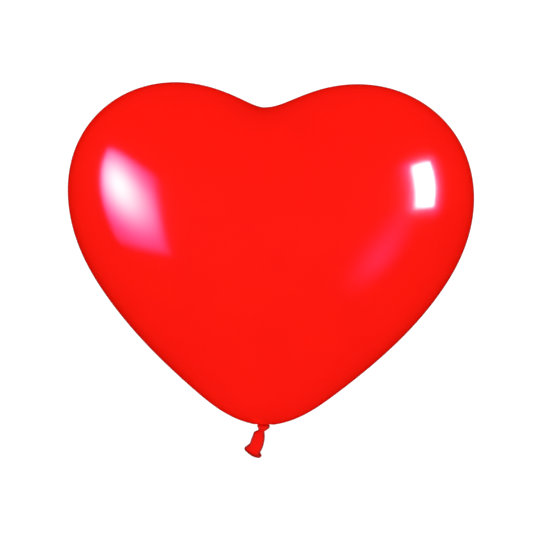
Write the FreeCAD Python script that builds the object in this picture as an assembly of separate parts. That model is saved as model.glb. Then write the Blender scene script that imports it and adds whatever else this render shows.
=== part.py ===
import FreeCAD, Part
import math
import os

from FreeCAD import Rotation, Vector

# A heart-shaped latex balloon, blown up and tied in its own neck.
#
# The frame: millimetres, +Z up, +X to the right lobe, +Y to the back. The origin is inside the short stem
# between the film and the knot, where a ribbon or a holder takes the balloon.
#
#   balloon  envelope     the heart-shaped film, with a round mouth at its lowest point
#            neck         the dimple that the knot sits in: the film gathered into a cup and a short stem
#   knot     knot         the overhand knot, two rolls of latex that turn about their own middle
#   tail     tail_sleeve  the free end of the neck under the knot, a flattened sleeve that flares
#            rolled_lip   the bead round the sleeve's mouth

os.makedirs("parts", exist_ok=True)

# ---- The heart. Its centre is the point right over the neck that the outline is measured from. ----
HEART_CENTRE = Vector(0, 0, 123.4)
FILM = 0.4
# Angle up from straight down, then how far the film is from the centre: at the right, the left, the front
STATIONS = (
    (0, 129.5, 129.5, 129.5),
    (25, 119.9, 116.1, 110.4),
    (50, 118.4, 111.0, 96.8),
    (75, 133.2, 121.9, 92.6),
    (100, 157.5, 145.2, 93.2),
    (120, 165.7, 158.7, 95.0),
    (140, 153.9, 153.2, 98.2),
    (160, 126.8, 129.6, 102.2),
    (172, 109.8, 112.4, 104.8),
    (180, 105.5, 105.5, 105.5),
)
ROW_STEP = 6  # degrees between the surface's rows, from the neck up
EXTRA_ROWS = 3  # past the neck and past the cleft, so that the surface is smooth over both
COLUMNS = 32  # round the vertical axis

# ---- The neck: radius and height of its profile, from the film's mouth up to the stem ----
MOUTH_RADIUS = 8.0
CUP_UNDERSIDE = ((8.0, -5.6), (7.2, -5.85), (6.4, -5.4), (5.9, -4.0), (5.3, -2.0), (4.2, -0.2), (2.4, 1.0))
CUP_TOP = ((0, 2.6), (2.4, 2.2), (4.6, 1.2), (6.1, -1.0), (6.9, -3.2), (7.4, -4.4), (8.0, -4.6))
STEM_RADIUS = 2.4

# ---- The knot, inside a ball that it turns in ----
KNOT_CENTRE = Vector(0, 0, -6.6)
KNOT_REACH = 4.77
GAP = 0.3  # between the ball and the stem above it, and the tail below it
ROLL_REACH = 4.65
# Each roll's own radius, and its axis
ROLLS = ((2.1, Vector(0.25, 0, 1)), (1.45, Vector(-0.75, -0.45, 0.5)))
CORE_RADIUS = 3.9

# ---- The tail, leaning to the left and a little to the back as it leaves the knot ----
# Each section: its middle, its lean to the left and tip to the back, its half width and half depth
SECTIONS = (
    (Vector(-1.5, 0.0, -8.8), 12.0, 0.0, 1.9, 1.8),
    (Vector(-1.8, 0.0, -10.3), 12.0, 4.0, 2.3, 2.1),
    (Vector(-3.0, 0.2, -11.8), 13.0, 10.0, 3.7, 2.6),
    (Vector(-3.5, 0.9, -14.6), 14.0, 15.0, 4.4, 3.0),
    (Vector(-4.5, 2.0, -18.4), 20.0, 20.0, 4.95, 3.3),
    (Vector(-5.8, 3.2, -22.0), 27.0, 23.0, 5.1, 3.6),
    (Vector(-7.6, 4.0, -24.4), 28.5, 24.0, 5.7, 4.1),
    (Vector(-7.8, 4.7, -26.2), 29.5, 24.0, 6.05, 4.6),
)
SLEEVE_WALL = 0.5
GATHERED = 4.5  # how far the sleeve is solid below the knot's ball
LIP_RADIUS = 0.95


def smooth(points, parameters):
    """The curve through the points at the given parameters, smooth up to its curvature."""
    curve = Part.BSplineCurve()
    curve.interpolate(Points=points, Parameters=parameters)
    return curve


# ---- The heart's surface ----
def reach_at(one_side, other_side):
    """The distance to the film at any angle: up one side's column, and back down the other's."""
    ring = [(s[0], s[one_side]) for s in STATIONS]
    ring += [(360 - s[0], s[other_side]) for s in reversed(STATIONS[1:-1])]
    points = [(angle + turn, reach) for turn in (-360, 0, 360) for angle, reach in ring]
    curve = smooth([Vector(angle, reach, 0) for angle, reach in points], [angle for angle, _ in points])
    return lambda angle: curve.value(angle).y


outline = reach_at(1, 2)
profile = reach_at(3, 3)


def reach(up, turn):
    """From the centre to the film. up is the angle from straight down, turn the angle about Z from +X."""
    right = outline(up) ** -2
    left = outline(-up) ** -2
    front = profile(up) ** -2
    c = math.cos(math.radians(turn))
    return (c * c * ((right + left) + c * (right - left)) / 2 + (1 - c * c) * front) ** -0.5


def slant(up, turn):
    """How much longer than its thickness the film is along a line from the centre."""
    step = 0.5
    r = reach(up, turn)
    span = math.radians(2 * step) * r
    rise = (reach(up + step, turn) - reach(up - step, turn)) / span
    side = (reach(up, turn + step) - reach(up, turn - step)) / span / math.sin(math.radians(up))
    return math.sqrt(1 + rise**2 + side**2)


def film_point(up, turn, inset):
    """The film's outside, or the point that far inside it."""
    out = Rotation(Vector(0, 0, 1), turn).multVec(Rotation(Vector(0, 1, 0), -up).multVec(Vector(0, 0, -1)))
    return HEART_CENTRE + out * (reach(up, turn) - inset * slant(up, turn))


def heart(inset):
    """The closed heart, its surface inset from the film's outside."""
    ups = [ROW_STEP * (i + 0.5) for i in range(-EXTRA_ROWS, 180 // ROW_STEP + EXTRA_ROWS)]
    turns = [360 * j / COLUMNS for j in range(-COLUMNS, 2 * COLUMNS + 1)]
    rows = []
    for up in ups:
        ring = [film_point(up, 360 * j / COLUMNS, inset) for j in range(COLUMNS)]
        rows.append(smooth(3 * ring + ring[:1], turns))
    columns = [smooth(list(poles), ups) for poles in zip(*(row.getPoles() for row in rows))]
    surface = Part.BSplineSurface()
    surface.buildFromPolesMultsKnots(
        list(zip(*(column.getPoles() for column in columns))),
        columns[0].getMultiplicities(),
        rows[0].getMultiplicities(),
        columns[0].getKnots(),
        rows[0].getKnots(),
        False,
        False,
        columns[0].Degree,
        rows[0].Degree,
    )
    surface.segment(0, 180, 0, 360)
    # The first and the last row are the single points over the neck and in the cleft.
    for row, up in ((1, 0), (surface.NbUPoles, 180)):
        tip = HEART_CENTRE + Vector(0, 0, (inset - outline(up)) * math.cos(math.radians(up)))
        for column in range(1, surface.NbVPoles + 1):
            surface.setPole(row, column, tip)
    return Part.Solid(Part.Shell([surface.toShape()]))


def envelope():
    """The film between the heart and its inset, with the mouth that the neck closes."""
    mouth = Part.makeCylinder(MOUTH_RADIUS, 20, Vector(0, 0, -12))
    return heart(0).cut(heart(FILM)).cut(mouth)


# ---- The neck, the knot and the tail ----
def neck():
    """The cup's profile and the stem's, turned about Z, and hollowed to clear the knot."""
    underside = Part.BSplineCurve()
    underside.interpolate([Vector(r, 0, z) for r, z in CUP_UNDERSIDE])
    top = Part.BSplineCurve()
    top.interpolate([Vector(r, 0, z) for r, z in CUP_TOP])
    stem_foot = KNOT_CENTRE.z
    outer = [top.EndPoint, underside.StartPoint]
    stem = [underside.EndPoint, Vector(STEM_RADIUS, 0, stem_foot), Vector(0, 0, stem_foot), top.StartPoint]
    lines = Part.makePolygon(outer).Edges + Part.makePolygon(stem).Edges
    wire = Part.Wire(Part.__sortEdges__(lines + [underside.toShape(), top.toShape()]))
    solid = Part.Face(wire).revolve(Vector(0, 0, 0), Vector(0, 0, 1), 360)
    return solid.cut(Part.makeSphere(KNOT_REACH + GAP, KNOT_CENTRE))


def knot():
    """A thick roll round the neck, a thinner one crossing it, and a stub each to the stem and the tail."""
    ball = Part.makeSphere(KNOT_REACH, KNOT_CENTRE)
    middle, _, _, _, half_depth = SECTIONS[0]
    rolls = [Part.makeTorus(ROLL_REACH - radius, radius, KNOT_CENTRE, axis) for radius, axis in ROLLS]
    stubs = [
        Part.makeCylinder(STEM_RADIUS, KNOT_REACH, KNOT_CENTRE, Vector(0, 0, 1)).common(ball),
        Part.makeCylinder(half_depth, KNOT_REACH, KNOT_CENTRE, middle - KNOT_CENTRE).common(ball),
    ]
    return Part.makeSphere(CORE_RADIUS, KNOT_CENTRE).fuse(rolls + stubs).removeSplitter()


def oval(section, inset):
    """A tail section's outline, inset by the given distance."""
    middle, lean, tip, half_width, half_depth = section
    across = Rotation(Vector(0, 1, 0), lean).multVec(Vector(1, 0, 0))
    back = Rotation(across, tip).multVec(Vector(0, 1, 0))
    widest = middle + across * (half_width - inset)
    deepest = middle + back * (half_depth - inset)
    return Part.Wire([Part.Ellipse(widest, deepest, middle).toShape()])


def rolled_lip():
    """A round bead along the sleeve's last section."""
    path = oval(SECTIONS[-1], 0)
    circle = Part.makeCircle(LIP_RADIUS, path.Vertexes[0].Point, path.Edges[0].tangentAt(0))
    return path.makePipeShell([Part.Wire([circle])], True, True)


def tail_sleeve(lip):
    """The sections lofted, hollowed from below up to where the latex is gathered, and met by the lip."""
    outside = Part.makeLoft([oval(section, 0) for section in SECTIONS], True)
    inside = Part.makeLoft([oval(section, SLEEVE_WALL) for section in SECTIONS], True)
    pocket = inside.cut(Part.makeSphere(KNOT_REACH + GAP + GATHERED, KNOT_CENTRE))
    return outside.cut(pocket).cut(Part.makeSphere(KNOT_REACH + GAP, KNOT_CENTRE)).cut(lip)


lip = rolled_lip()
nodes = {
    "envelope": envelope(),
    "neck": neck(),
    "knot": knot(),
    "tail_sleeve": tail_sleeve(lip),
    "rolled_lip": lip,
}
for name, shape in nodes.items():
    shape.exportStep("parts/" + name + ".step")
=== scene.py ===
import math

import bpy
import numpy as np
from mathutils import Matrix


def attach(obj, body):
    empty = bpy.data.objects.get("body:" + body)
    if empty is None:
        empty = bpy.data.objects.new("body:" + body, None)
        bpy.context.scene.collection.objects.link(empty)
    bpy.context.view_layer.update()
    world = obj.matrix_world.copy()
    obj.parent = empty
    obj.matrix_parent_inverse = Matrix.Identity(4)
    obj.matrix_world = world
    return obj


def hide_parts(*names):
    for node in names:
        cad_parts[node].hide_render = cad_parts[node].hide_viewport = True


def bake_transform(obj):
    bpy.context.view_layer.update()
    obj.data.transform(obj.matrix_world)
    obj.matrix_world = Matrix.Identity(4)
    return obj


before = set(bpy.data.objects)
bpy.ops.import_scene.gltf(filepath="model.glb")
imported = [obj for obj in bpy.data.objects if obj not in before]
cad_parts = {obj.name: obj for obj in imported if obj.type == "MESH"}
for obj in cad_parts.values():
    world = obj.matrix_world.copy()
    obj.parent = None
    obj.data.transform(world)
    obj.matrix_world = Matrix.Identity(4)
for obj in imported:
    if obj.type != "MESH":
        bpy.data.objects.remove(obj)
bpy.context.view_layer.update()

# A heart-shaped latex balloon, tied in its own neck. Five skins stand for the CAD's nodes: the film with its
# dimple, the stem, the knot, the tail's sleeve and the sleeve's rolled lip. The frame is the CAD's: +Z up,
# +X to the right lobe, +Y to the back, and the origin inside the stem.

MM = 0.001

# ---- Sizes, in millimetres, as in the CAD model ----
HEART_CENTRE_Z = 123.4
# Angle up from straight down, then how far the film is from the centre: at the right, the left, the front
STATIONS = np.array([
    (0, 129.5, 129.5, 129.5),
    (25, 119.9, 116.1, 110.4),
    (50, 118.4, 111.0, 96.8),
    (75, 133.2, 121.9, 92.6),
    (100, 157.5, 145.2, 93.2),
    (120, 165.7, 158.7, 95.0),
    (140, 153.9, 153.2, 98.2),
    (160, 126.8, 129.6, 102.2),
    (172, 109.8, 112.4, 104.8),
    (180, 105.5, 105.5, 105.5),
])
# The dimple that the knot sits in, from the stem outwards: its radius and its height
CUP = [(2.4, 1.0), (4.2, -0.2), (5.3, -2.0), (5.9, -4.0)]
KNOT_CENTRE = np.array([0.0, 0.0, -6.6])
# Each section of the tail: its middle, its lean to the left, its tip to the back, half its width and depth
SECTIONS = np.array([
    (-1.5, 0.0, -8.8, 12.0, 0.0, 1.9, 1.8),
    (-1.8, 0.0, -10.3, 12.0, 4.0, 2.3, 2.1),
    (-3.0, 0.2, -11.8, 13.0, 10.0, 3.7, 2.6),
    (-3.5, 0.9, -14.6, 14.0, 15.0, 4.4, 3.0),
    (-4.5, 2.0, -18.4, 20.0, 20.0, 4.95, 3.3),
    (-5.8, 3.2, -22.0, 27.0, 23.0, 5.1, 3.6),
    (-7.6, 4.0, -24.4, 28.5, 24.0, 5.7, 4.1),
    (-7.8, 4.7, -26.2, 29.5, 24.0, 6.05, 4.6),
])
LIP_RADIUS = 0.95

# ---- Sizes of the skins alone, in millimetres ----
AROUND = 256  # points in each of the film's rings
DIMPLE_RINGS = 48
HEART_RINGS = 124
DIMPLE_PLEATS = 17
# The dimple's rim: its radius, the radius at which the film has that height, and its rise over the film
RIM = [(6.5, 8.0, 0.42), (7.4, 8.0, 0.0), (9.0, 9.0, 0.0), (12.0, 12.0, 0.0), (15.0, 15.0, 0.0)]
RIM_END = 12.0  # the radius at which the dimple's rings give way to the film's
STEM_TOP = 1.6
STEM_LENGTH = 4.6
STEM_PLEATS = 11
# The radius of the knot's core, then of the loop that each roll makes and of the roll itself. They and the
# sleeve's wall are a little under the CAD's, to leave room for wrinkles.
KNOT_CORE = 3.7
LOW_LOOP, LOW_ROLL = 2.55, 2.05
OVER_LOOP, OVER_ROLL = 3.15, 1.42
SLEEVE_WALL = 0.38
SLEEVE_PLEATS = 13
POCKET_END = 3.0  # how far up the sleeve is hollow, counted in sections


# ---- Small tools ----
def spline(x, y):
    """The natural cubic spline through y at x, as a function; y may hold vectors."""
    x, y = np.asarray(x, float), np.asarray(y, float)
    n, h = len(x), np.diff(x)
    a, b = np.eye(n), np.zeros(y.shape)
    for i in range(1, n - 1):
        a[i, i - 1 : i + 2] = h[i - 1], 2 * (h[i - 1] + h[i]), h[i]
        b[i] = 6 * ((y[i + 1] - y[i]) / h[i] - (y[i] - y[i - 1]) / h[i - 1])
    m = np.linalg.solve(a, b.reshape(n, -1)).reshape(y.shape)

    def at(t):
        t = np.asarray(t, float)
        i = np.clip(np.searchsorted(x, t) - 1, 0, n - 2)
        wide = t.shape + (1,) * (y.ndim - 1)
        f, g = ((x[i + 1] - t) / h[i]).reshape(wide), ((t - x[i]) / h[i]).reshape(wide)
        k = (h[i] ** 2 / 6).reshape(wide)
        return f * y[i] + g * y[i + 1] + ((f**3 - f) * m[i] + (g**3 - g) * m[i + 1]) * k

    return at


def step(x, low, high):
    """0 below low, 1 above high, and smooth between them."""
    t = np.clip((x - low) / (high - low), 0, 1)
    return t * t * (3 - 2 * t)


def mesh_object(name, points, faces):
    """A smooth-shaded object from points in metres."""
    mesh = bpy.data.meshes.new(name)
    mesh.from_pydata([tuple(p) for p in points], [], faces)
    mesh.validate()
    mesh.polygons.foreach_set("use_smooth", [True] * len(mesh.polygons))
    mesh.update()
    piece = bpy.data.objects.new(name, mesh)
    bpy.context.collection.objects.link(piece)
    return piece


def skin(name, rings, start=None, end=None, loop=False):
    """A mesh through rings of equally many points, in millimetres. start and end are points to close it."""
    rings = np.asarray(rings, float)
    m, n = rings.shape[:2]
    points = list(rings.reshape(-1, 3) * MM)
    faces = []
    for i in range(m if loop else m - 1):
        a, b = i * n, (i + 1) % m * n
        faces += [(a + j, a + (j + 1) % n, b + (j + 1) % n, b + j) for j in range(n)]
    for tip, ring, order in ((start, 0, -1), (end, (m - 1) * n, 1)):
        if tip is not None:
            points.append(np.asarray(tip, float) * MM)
            last = len(points) - 1
            faces += [(ring + j, ring + (j + 1) % n, last)[::order] for j in range(n)]
    return mesh_object(name, points, faces)


def thicken_and_shade(piece, values):
    """How far each point turns to the darker red, from 0 to 1: partly for latex rolled or folded over, and
    partly painted shade at edges, folds and hollows.
    """
    thick_and_shade = piece.data.attributes.new("thick_and_shade", "FLOAT", "POINT")
    thick_and_shade.data.foreach_set("value", np.asarray(values, np.float32))
    return piece


def weld(name, parts, voxel):
    """One clean skin round several that overlap, by voxel remeshing at a scale of millimetres."""
    points, faces = [], []
    for part in parts:
        base = len(points)
        points += [v.co / MM for v in part.data.vertices]
        faces += [tuple(base + i for i in f.vertices) for f in part.data.polygons]
        bpy.data.objects.remove(part)
    lump = mesh_object(name + "_lump", points, faces)
    remesh = lump.modifiers.new("weld", "REMESH")
    remesh.mode = "VOXEL"
    remesh.voxel_size = voxel
    soft = lump.modifiers.new("soft", "SMOOTH")
    soft.factor, soft.iterations = 0.5, 3
    mesh = bpy.data.meshes.new_from_object(lump.evaluated_get(bpy.context.evaluated_depsgraph_get()))
    bpy.data.objects.remove(lump)
    points = [v.co * MM for v in mesh.vertices]
    faces = [tuple(f.vertices) for f in mesh.polygons]
    bpy.data.meshes.remove(mesh)
    return mesh_object(name, points, faces)


# ---- The film ----
def reach_at(one_side, other_side):
    """The distance to the film at any angle: up one side's column, and back down the other's."""
    up, down = STATIONS[:, [0, one_side]], STATIONS[-2:0:-1, [0, other_side]]
    ring = np.vstack([up, np.column_stack([360 - down[:, 0], down[:, 1]])])
    wrapped = np.vstack([ring - (360, 0), ring, ring + (360, 0)])
    return spline(wrapped[:, 0], wrapped[:, 1])


outline, profile = reach_at(1, 2), reach_at(3, 3)


def film(up, turn):
    """Points of the film. up is the angle from straight down, turn the angle about Z from +X, in degrees."""
    right, left, front = outline(up) ** -2, outline(-up) ** -2, profile(up) ** -2
    c = np.cos(np.radians(turn))
    r = (c * c * ((right + left) + c * (right - left)) / 2 + (1 - c * c) * front) ** -0.5
    u, t = np.radians(up), np.radians(turn)
    x, y, z = r * np.sin(u) * np.cos(t), r * np.sin(u) * np.sin(t), HEART_CENTRE_Z - r * np.cos(u)
    return np.stack(np.broadcast_arrays(x, y, z), axis=-1)


def pleats(turn, count, twist=0.0):
    """Rounded folds with sharp valleys between them, from -1 to about 0.4, uneven round the neck."""
    t = np.radians(turn)
    phase = count * t / 2 + 0.9 * np.sin(t + 0.6) + 0.5 * np.sin(3 * t + 2.1) + twist
    fine = count * t + 1.4 * np.sin(2 * t) + twist
    return 1.2 * np.sqrt(np.abs(np.sin(phase)) + 0.02) - 1.0 + 0.18 * np.cos(fine)


def envelope_film():
    """The whole film in one skin: out of the stem, down the dimple, round its rim and up over the heart."""
    turn = np.arange(AROUND) * 360 / AROUND
    cos, sin = np.cos(np.radians(turn)), np.sin(np.radians(turn))

    def film_up(radius):
        """The angle up from straight down at which the film has that radius about Z, at each turn."""
        up = np.full(AROUND, 4.0)  # a first guess, improved each round
        for _ in range(6):
            p = film(up, turn)
            up *= radius / np.hypot(p[:, 0], p[:, 1])
        return up

    cup = [np.tile(point, (AROUND, 1)) for point in CUP]
    for radius, film_radius, rise in RIM:
        height = film(film_up(film_radius), turn)[:, 2] + rise
        cup.append(np.column_stack([np.full(AROUND, radius), height]))
    knots = np.stack(cup)
    first = film_up(RIM_END)
    along = np.concatenate([[0], np.cumsum(np.linalg.norm(np.diff(knots[:, 0], axis=0), axis=1))])
    curve = spline(along, knots)
    folds = pleats(turn, DIMPLE_PLEATS)
    rings = []
    for s in np.linspace(0, along[-2], DIMPLE_RINGS):
        rz = curve(s)
        middle = np.mean(rz[:, 0])
        # The pleats are deepest in the dimple, and are gone by the rim's end.
        fade = 1 - step(middle, 5.5, 11.5)
        depth = (0.30 * fade + 0.02) * (1 - step(middle, 9.0, RIM_END))
        radius = rz[:, 0] - depth * 0.6 * folds
        height = rz[:, 1] + depth * 0.5 * folds
        rings.append(np.column_stack([radius * cos, radius * sin, height]))
    for s in np.linspace(0, 1, HEART_RINGS)[1:-1]:
        up = first + (180 - first) * s
        rings.append(film(up, turn))
    top = film(np.array(180.0), np.array(0.0))
    return skin("envelope_film", rings, start=(0, 0, 1.7), end=top)


# ---- The neck, the knot and the tail ----
def neck_stem():
    """The gathered neck between the dimple and the knot, its pleats wrung a little by the tying."""
    turn = np.arange(96) * 360 / 96
    cos, sin = np.cos(np.radians(turn)), np.sin(np.radians(turn))
    rings = []
    for s in np.linspace(0, 1, 26):
        radius = 2.55 - 0.55 * step(s, 0.05, 0.6) + 0.2 * pleats(turn, STEM_PLEATS, twist=2.2 * s)
        height = np.full_like(turn, STEM_TOP - STEM_LENGTH * s)
        rings.append(np.column_stack([radius * cos, radius * sin, height]))
    return skin("neck_stem", rings, start=(0, 0, STEM_TOP), end=(0, 0, STEM_TOP - STEM_LENGTH))


def roll(path, radius, folds, twist, around=48):
    """A wrinkled tube along a closed path of points, round the knot's centre."""
    rings = []
    n = len(path)
    for i, p in enumerate(path):
        tangent = path[(i + 1) % n] - path[i - 1]
        tangent /= np.linalg.norm(tangent)
        out = p - tangent * (p @ tangent)
        out /= np.linalg.norm(out)
        side = np.cross(tangent, out)
        a = np.arange(around) * 2 * np.pi / around
        r = radius[i] * (1 + 0.07 * pleats(np.degrees(a), folds, twist * 2 * np.pi * i / n))
        rings.append(KNOT_CENTRE + p + np.outer(r * np.cos(a), out) + np.outer(r * np.sin(a), side))
    return rings


def knot_bead():
    """The overhand knot: the neck's loop pulled tight round itself, then welded into one skin."""
    t = np.arange(120) * 2 * np.pi / 120
    low = np.column_stack([LOW_LOOP * np.cos(t), LOW_LOOP * np.sin(t), 0.55 * np.sin(t - 0.4) - 0.2])
    tilt, spin = np.radians(62), np.radians(-32)  # of the upper roll, about X and then about Z
    wide, deep = OVER_LOOP * np.cos(t), OVER_LOOP * np.sin(t)
    over = np.column_stack([wide, deep * np.cos(tilt), deep * np.sin(tilt)])
    over = over @ np.array([[np.cos(spin), np.sin(spin), 0], [-np.sin(spin), np.cos(spin), 0], [0, 0, 1]])
    first = skin("knot_low", roll(low, LOW_ROLL + 0.1 * np.cos(2 * t), 9, 1), loop=True)
    second = skin("knot_over", roll(over, OVER_ROLL + 0.12 * np.cos(t + 1), 7, 1), loop=True)
    a = np.arange(64) * 2 * np.pi / 64
    core_rings = []
    for s in np.linspace(0.04, 0.96, 24):
        polar = np.pi * s
        r = KNOT_CORE * np.sin(polar) * (1 + 0.04 * pleats(np.degrees(a), 11))
        height = np.full_like(a, KNOT_CORE * np.cos(polar))
        core_rings.append(KNOT_CENTRE + np.column_stack([r * np.cos(a), r * np.sin(a), height]))
    pole = np.array([0, 0, KNOT_CORE])
    core = skin("knot_core", core_rings, start=KNOT_CENTRE + pole, end=KNOT_CENTRE - pole)
    bead = weld("knot_bead", [first, second, core], voxel=0.13)
    points = np.array([v.co for v in bead.data.vertices]) / MM - KNOT_CENTRE
    to_low = np.linalg.norm(points[:, None] - low[None, ::2], axis=2).min(axis=1) - LOW_ROLL
    to_over = np.linalg.norm(points[:, None] - over[None, ::2], axis=2).min(axis=1) - OVER_ROLL
    # A crease runs where a point is as near to one roll as to the other, and it is painted darker there as
    # shade.
    crease = np.exp(-(((to_low - to_over) / 0.3) ** 2))
    # The rolls turn round to the back at the knot's two sides, and are painted darker there too, as shade at
    # the knot's edge.
    sides = np.clip(np.abs(points[:, 0]) / 4.6, 0, 1) ** 6
    return thicken_and_shade(bead, np.clip(0.08 + 0.5 * crease + 0.75 * sides, 0, 1))


sleeve_line = spline(np.arange(len(SECTIONS)), SECTIONS)


def section_axes(lean, tip):
    """The section's own axes: across, to the back, and up along the sleeve."""
    lean, tip = math.radians(lean), math.radians(tip)
    across = np.array([math.cos(lean), 0, -math.sin(lean)])
    straight = np.array([math.sin(lean), 0, math.cos(lean)])
    back = np.array([0, math.cos(tip), 0]) + math.sin(tip) * straight
    return across, back, np.cross(across, back)


def sleeve_ring(s, inset, turn, folds):
    """One ring of the tail at s, counted in sections, inset from its outside, with folds of that depth."""
    x, y, z, lean, tip, half_width, half_depth = sleeve_line(s)
    across, back, _ = section_axes(lean, tip)
    a = np.radians(turn)
    shape = folds * (pleats(turn, SLEEVE_PLEATS, twist=0.25 * s) + 0.35)
    wide = (half_width - inset + shape) * np.cos(a)
    deep = (half_depth - inset + shape) * np.sin(a)
    return np.array([x, y, z]) + np.outer(wide, across) + np.outer(deep, back)


def tail_sleeve():
    """The free end of the neck: gathered under the knot, then a thin flattened sleeve open at the bottom."""
    turn = np.arange(128) * 360 / 128
    last = len(SECTIONS) - 1
    deepest = 0.46  # of the folds, where the sleeve leaves the knot
    rings, thick_and_shade = [], []
    for s in np.linspace(0, last, 64):
        folds = 0.34 * (1 - step(s, 1.5, 4.2)) + 0.10 * (1 - step(s, 3, 5.8)) + 0.02
        rings.append(sleeve_ring(s, 0.0, turn, folds))
        # The sleeve's two folded side edges are darker, partly as doubled latex and partly as painted shade;
        # the fold valleys get painted shade.
        valleys = np.clip(-pleats(turn, SLEEVE_PLEATS, twist=0.25 * s), 0, 1) * folds / deepest
        thick_and_shade.append(0.95 * np.abs(np.cos(np.radians(turn))) ** 4 + 0.4 * valleys)
    for s in np.linspace(last, POCKET_END, 34):
        folds = 0.24 * (1 - step(s, 3, 5)) + 0.02
        rings.append(sleeve_ring(s, SLEEVE_WALL, turn, folds))
        # The sleeve's inside is painted darker, as shade in its hollow.
        thick_and_shade.append(np.full(len(turn), 0.5))
    sleeve = skin("tail_sleeve_skin", rings, start=SECTIONS[0, :3], end=sleeve_line(POCKET_END)[:3])
    return thicken_and_shade(sleeve, np.clip(np.append(np.ravel(thick_and_shade), [0.5, 0.5]), 0, 1))


def rolled_lip():
    """The bead, rolled outwards from the sleeve's edge, a little uneven."""
    x, y, z, lean, tip, half_width, half_depth = SECTIONS[-1]
    across, back, upward = section_axes(lean, tip)
    b = np.arange(36) * 2 * np.pi / 36
    groove = 1 - 0.16 * np.exp(-((((b - 2.2 + math.pi) % (2 * math.pi)) - math.pi) / 0.22) ** 2)
    rings = []
    for a in np.arange(160) * 2 * np.pi / 160:
        out = np.array([half_depth * math.cos(a), half_width * math.sin(a)])
        out /= np.linalg.norm(out)
        wave = 0.10 * math.sin(3 * a + 0.7) + 0.06 * math.sin(5 * a)
        r = LIP_RADIUS * (1 + 0.05 * math.sin(4 * a + 1) + 0.03 * math.sin(9 * a)) * groove
        wide = half_width * math.cos(a) + r * np.cos(b) * out[0]
        deep = half_depth * math.sin(a) + r * np.cos(b) * out[1]
        up = r * np.sin(b) + wave
        ring = np.outer(wide, across) + np.outer(deep, back) + np.outer(up, upward)
        rings.append(np.array([x, y, z]) + ring)
    bead = skin("rolled_lip_bead", rings, loop=True)
    # The bead is a darker red, partly as rolled latex and partly as painted shade, darkest on its lower half
    # and lighter towards its top.
    return thicken_and_shade(bead, np.tile(0.95 - 0.45 * np.clip(np.sin(b), 0, 1), len(rings)))


# ---- Materials ----
def shader_graph(name, empty=False):
    """A new material, its nodes and its links. It starts with the principled shader, or with none."""
    material = bpy.data.materials.new(name)
    material.use_nodes = True
    nodes, links = material.node_tree.nodes, material.node_tree.links
    if empty:
        nodes.clear()
    return material, nodes, links


def add_node(nodes, kind, values=(), **settings):
    """A new shader node with these settings, and these values at its inputs."""
    node = nodes.new("ShaderNode" + kind)
    for name, setting in settings.items():
        setattr(node, name, setting)
    for name, value in dict(values).items():
        node.inputs[name].default_value = value
    return node


def mix_shaders(nodes, links, amount, at_0, at_1, surface):
    """Light a surface by one shader where the amount is 0 and by the other where it's 1."""
    mix = add_node(nodes, "MixShader")
    links.new(amount, mix.inputs["Fac"])
    links.new(at_0.outputs["BSDF"], mix.inputs[1])
    links.new(at_1.outputs["BSDF"], mix.inputs[2])
    links.new(mix.outputs["Shader"], surface)


def latex(name, colour, deep, thick_and_shade, roughness, grain, relief):
    """Dyed latex: clouded colour, darker where the latex is rolled or folded and where painted shade is set,
    a fine grain in the gloss, and a fine relief.
    """
    material, nodes, links = shader_graph(name)
    shader = nodes["Principled BSDF"]
    shader.inputs["IOR"].default_value = 1.52
    place = add_node(nodes, "TexCoord")

    cloud = add_node(nodes, "TexNoise", {"Scale": 26, "Detail": 4})
    spread = add_node(nodes, "MapRange", {"From Min": 0.35, "From Max": 0.75})
    clouded = add_node(nodes, "Mix", {"A": (*colour, 1), "B": (*deep, 1)}, data_type="RGBA")
    thickness_and_shade = add_node(nodes, "Attribute", attribute_name="thick_and_shade")
    darkened = add_node(nodes, "Mix", {"B": (*thick_and_shade, 1)}, data_type="RGBA")
    links.new(place.outputs["Object"], cloud.inputs["Vector"])
    links.new(cloud.outputs["Fac"], spread.inputs["Value"])
    links.new(spread.outputs["Result"], clouded.inputs["Factor"])
    links.new(thickness_and_shade.outputs["Fac"], darkened.inputs["Factor"])
    links.new(clouded.outputs["Result"], darkened.inputs["A"])
    links.new(darkened.outputs["Result"], shader.inputs["Base Color"])

    fine = add_node(nodes, "TexNoise", {"Scale": grain, "Detail": 3})
    gloss = add_node(nodes, "MapRange", {"From Min": 0.3, "From Max": 0.7})
    gloss.inputs["To Min"].default_value = roughness - 0.02
    gloss.inputs["To Max"].default_value = roughness + 0.02
    bump = add_node(nodes, "Bump", {"Strength": relief, "Distance": 0.0002})
    links.new(place.outputs["Object"], fine.inputs["Vector"])
    links.new(fine.outputs["Fac"], gloss.inputs["Value"])
    links.new(gloss.outputs["Result"], shader.inputs["Roughness"])
    links.new(fine.outputs["Fac"], bump.inputs["Height"])
    links.new(bump.outputs["Normal"], shader.inputs["Normal"])
    return material


film_latex = latex(
    "latex_film", (0.95, 0.0056, 0.0010), (0.92, 0.0048, 0.0008), (0.7, 0.004, 0.001),
    roughness=0.11, grain=900, relief=0.02,
)
# The loose latex's third colour is the dark red for rolled latex and for painted shade.
loose_latex = latex(
    "latex_loose", (0.95, 0.0068, 0.0030), (0.88, 0.0055, 0.0020), (0.22, 0.0050, 0.0014),
    roughness=0.45, grain=1400, relief=0.25,
)
# Its gloss is weak, and takes the colour of the dye.
loose_shader = loose_latex.node_tree.nodes["Principled BSDF"]
loose_shader.inputs["Specular IOR Level"].default_value = 0.25
loose_shader.inputs["Specular Tint"].default_value = (1.0, 0.12, 0.10, 1)


def finish_piece(piece, material, nodes, body=None, joined=None):
    """Give a piece its material and hide the CAD nodes it stands for. It rides on a body, or, when joined is
    given, stays where it is in the world frame; the bodies and points in joined are not used."""
    piece.data.materials.append(material)
    if nodes:
        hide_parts(*nodes)
    if joined:
        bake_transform(piece)
    else:
        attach(piece, body)


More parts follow.
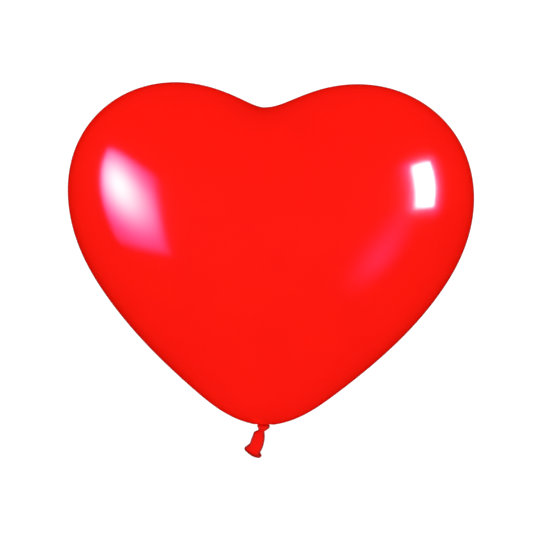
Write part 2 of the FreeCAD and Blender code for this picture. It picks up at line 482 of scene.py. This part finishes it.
film_skin = envelope_film()
finish_piece(film_skin, film_latex, ["envelope", "neck"], body="balloon")
finish_piece(
    neck_stem(), loose_latex, [],
    joined=("balloon", "knot", (0, 0, 0.0012), (0, 0, -0.0022)),
)
finish_piece(knot_bead(), loose_latex, ["knot"], body="knot")
finish_piece(
    tail_sleeve(), loose_latex, ["tail_sleeve"],
    joined=("knot", "tail", (-0.0019, 0, -0.0090), (-0.0031, 0, -0.0135)),
)
finish_piece(rolled_lip(), loose_latex, ["rolled_lip"], body="tail")


# ---- The stage, in metres: floor, background light, studio panels and a flag ----
FLOOR_Z = -0.6
FLOOR_HALF = 15
RIGHT_PANEL = (72, 18)  # azimuth and elevation, in degrees, as seen from the heart
LEFT_PANEL = (-64, 12)
FILL_PANEL = (48, -10)
STRIP_GLOW = 33.0
glossy_pieces = bpy.data.collections.new("glossy_pieces")
glossy_pieces.objects.link(film_skin)


def emission(name):
    """A light of its points' own glow."""
    material, nodes, links = shader_graph(name, empty=True)
    glow = add_node(nodes, "Attribute", attribute_name="glow")
    light = add_node(nodes, "Emission")
    out = add_node(nodes, "OutputMaterial")
    links.new(glow.outputs["Color"], light.inputs["Color"])
    links.new(light.outputs["Emission"], out.inputs["Surface"])
    return material


def board(name, azimuth, elevation, corner, cells, distance):
    """A flat grid facing the heart, seen in reflections only. corner maps s and t, from -1 to 1, to metres
    across and up in its plane, and the board comes back with those metres for each point."""
    a, e = math.radians(azimuth), math.radians(elevation)
    facing = np.array([math.sin(a) * math.cos(e), -math.cos(a) * math.cos(e), math.sin(e)])
    across = np.cross([0, 0, 1], facing)
    across /= np.linalg.norm(across)
    up = np.cross(facing, across)
    centre = np.array([0, 0, HEART_CENTRE_Z * MM]) + distance * facing
    t, s = np.meshgrid(np.linspace(-1, 1, cells + 1), np.linspace(-1, 1, cells + 1))
    u, v = (np.asarray(w).reshape(-1, 1) for w in corner(s, t))
    row = cells + 1
    faces = [
        (i * row + j, i * row + j + 1, (i + 1) * row + j + 1, (i + 1) * row + j)
        for i in range(cells)
        for j in range(cells)
    ]
    piece = mesh_object(name, centre + u * across + v * up, faces)
    piece.visible_camera = False
    piece.visible_diffuse = False
    piece.visible_shadow = False
    return piece, u, v


def panel(name, azimuth, elevation, corner, glow, cells=40, distance=2.0):
    """A soft box facing the heart. glow is its strength at u across and v up. Where it's weak it's violet,
    which gives the highlights their violet fringe."""
    piece, u, v = board(name, azimuth, elevation, corner, cells, distance)
    green = np.broadcast_to(glow(u, v), u.shape)
    violet = np.minimum(4.5 * green, np.sqrt(23 * green)).clip(min=green)
    colours = piece.data.attributes.new("glow", "FLOAT_COLOR", "POINT")
    colours.data.foreach_set("color", np.hstack([violet, green, violet, np.ones_like(green)]).ravel())
    piece.data.materials.append(emission(name))
    # The knot and the tail are too dull to mirror it.
    piece.light_linking.receiver_collection = glossy_pieces


def flag(name, azimuth, elevation, corner, block, cells, distance):
    """A black card in front of a panel. block is how much of its light the card stops, from 0 to 1."""
    piece, p, q = board(name, azimuth, elevation, corner, cells, distance)
    stops = piece.data.attributes.new("block", "FLOAT", "POINT")
    stops.data.foreach_set("value", block(p, q).ravel())
    material, nodes, links = shader_graph(name, empty=True)
    amount = add_node(nodes, "Attribute", attribute_name="block")
    clear = add_node(nodes, "BsdfTransparent")
    black = add_node(nodes, "BsdfDiffuse", {"Color": (0, 0, 0, 1)})
    out = add_node(nodes, "OutputMaterial")
    mix_shaders(nodes, links, amount.outputs["Fac"], clear, black, out.inputs["Surface"])
    piece.data.materials.append(material)


def bell(x, middle, below, above):
    """A bell curve, of the one width below its middle and of the other above."""
    return np.exp(-(((x - middle) / np.where(x < middle, below, above)) ** 2) / 2)


def strip_outline(s, t):
    """The strip's place across and up: a slightly slanted box with bowed sides."""
    return -0.113 + 0.242 * s + 0.02 * s * (1 - t * t), 0.065 + 0.465 * t - 0.055 * s


def strip_halo(u, v):
    """The strip's own bloom, which falls away from its edges."""
    beside = np.maximum(np.abs(u + 0.113) - 0.25, 0)
    above = np.maximum(np.abs(v - 0.065 + 0.23 * (u + 0.113)) - 0.46, 0)
    away = np.hypot(beside, 1.4 * above)
    return 3.5 * np.exp(-away / 0.085) * step(0.55 - away, 0, 0.2)


def soft_box(u, v):
    """Brightest off its middle, and faded out at its four edges."""
    core = 22 * bell(u, -0.04 + 0.22 * (0.3 - v), 0.37, 0.36) * bell(v, 0.28, 0.42, 0.33)
    edges = step(u, -0.76, -0.45) * step(-u, -0.85, -0.6) * step(v, -1.15, -0.85) * step(-v, -1.12, -0.85)
    return (0.6 + core) * edges


def faint_fill(u, v):
    """A weak bounce of the light low on the right, that trails up to the strip."""
    blob = 0.31 * bell(u, 0.12, 0.21, 0.21) * bell(v, -0.3, 0.3, 0.3)
    trail = 0.16 * bell(u, 0.12 + 0.3 * v, 0.22, 0.22) * step(v, -0.4, 0.3) * step(-v, -0.95, -0.6)
    return (blob + trail) * step(1 - np.abs(u), 0, 0.2)


def past_window(p, q):
    """The card is clear in its window and beyond its near edge, and black to the front, above and below."""
    front = step(p, 0.070, 0.092)
    above_or_below = np.maximum(step(q, 0.070, 0.092), step(-q, 0.064, 0.086))
    return np.maximum(front, step(p, -0.035, -0.005) * above_or_below)


panel("right_strip", *RIGHT_PANEL, strip_outline, lambda u, v: np.full_like(u, STRIP_GLOW))
panel(
    "right_halo", *RIGHT_PANEL, lambda s, t: (-0.128 + 0.8 * s, 0.05 + t), strip_halo,
    cells=80, distance=2.02,
)
panel("left_box", *LEFT_PANEL, lambda s, t: (0.045 + 0.805 * s, -0.015 + 1.135 * t), soft_box)
panel("faint_fill", *FILL_PANEL, lambda s, t: (s, -0.1 + 1.1 * t), faint_fill)
# The flag stops most of the left box's glancing reflection down the heart's front, as seen from the right.
flag(
    "left_flag", *LEFT_PANEL, lambda s, t: (0.08 + 0.18 * s, 0.01 + 0.3 * t), past_window,
    cells=120, distance=0.162,
)

floor_corners = [(x * FLOOR_HALF, y * FLOOR_HALF, FLOOR_Z) for x, y in ((-1, -1), (1, -1), (1, 1), (-1, 1))]
floor = mesh_object("floor", floor_corners, [(0, 1, 2, 3)])
floor.visible_glossy = False
floor_paint, floor_nodes, floor_links = shader_graph("floor_paint")
floor_shader = floor_nodes["Principled BSDF"]
floor_shader.inputs["Base Color"].default_value = (0.95, 0.95, 0.95, 1)
floor_shader.inputs["Roughness"].default_value = 0.9
floor_shader.inputs["Specular IOR Level"].default_value = 0.0
# The floor is clear from below, for a look at the knot from there.
from_below = add_node(floor_nodes, "NewGeometry").outputs["Backfacing"]
see_through = add_node(floor_nodes, "BsdfTransparent")
floor_surface = floor_nodes["Material Output"].inputs["Surface"]
mix_shaders(floor_nodes, floor_links, from_below, floor_shader, see_through, floor_surface)
floor.data.materials.append(floor_paint)

world = bpy.data.worlds.new("studio")
bpy.context.scene.world = world
world.use_nodes = True
background = world.node_tree.nodes["Background"]
background.inputs["Color"].default_value = (1, 1, 1, 1)
background.inputs["Strength"].default_value = 1.15
# The film mirrors the panels, and not the white all round.
world.cycles_visibility.glossy = False

# ---- The camera: level with the heart, looking along +Y; its sizes are in millimetres ----
CAMERA_DISTANCE = 2500
VIEW_WIDTH = 399.3  # what it sees across at the heart
VIEW_X, VIEW_Z = 4.8, 108.6  # what it looks straight at
SENSOR_WIDTH = 36
camera_data = bpy.data.cameras.new("camera")
camera = bpy.data.objects.new("camera", camera_data)
bpy.context.collection.objects.link(camera)
camera.location = (VIEW_X * MM, -CAMERA_DISTANCE * MM, VIEW_Z * MM)
camera.rotation_euler = (math.radians(90), 0, 0)
camera_data.sensor_width = SENSOR_WIDTH
camera_data.lens = SENSOR_WIDTH * CAMERA_DISTANCE / VIEW_WIDTH
bpy.context.scene.camera = camera
bpy.context.scene.view_settings.view_transform = "Standard"
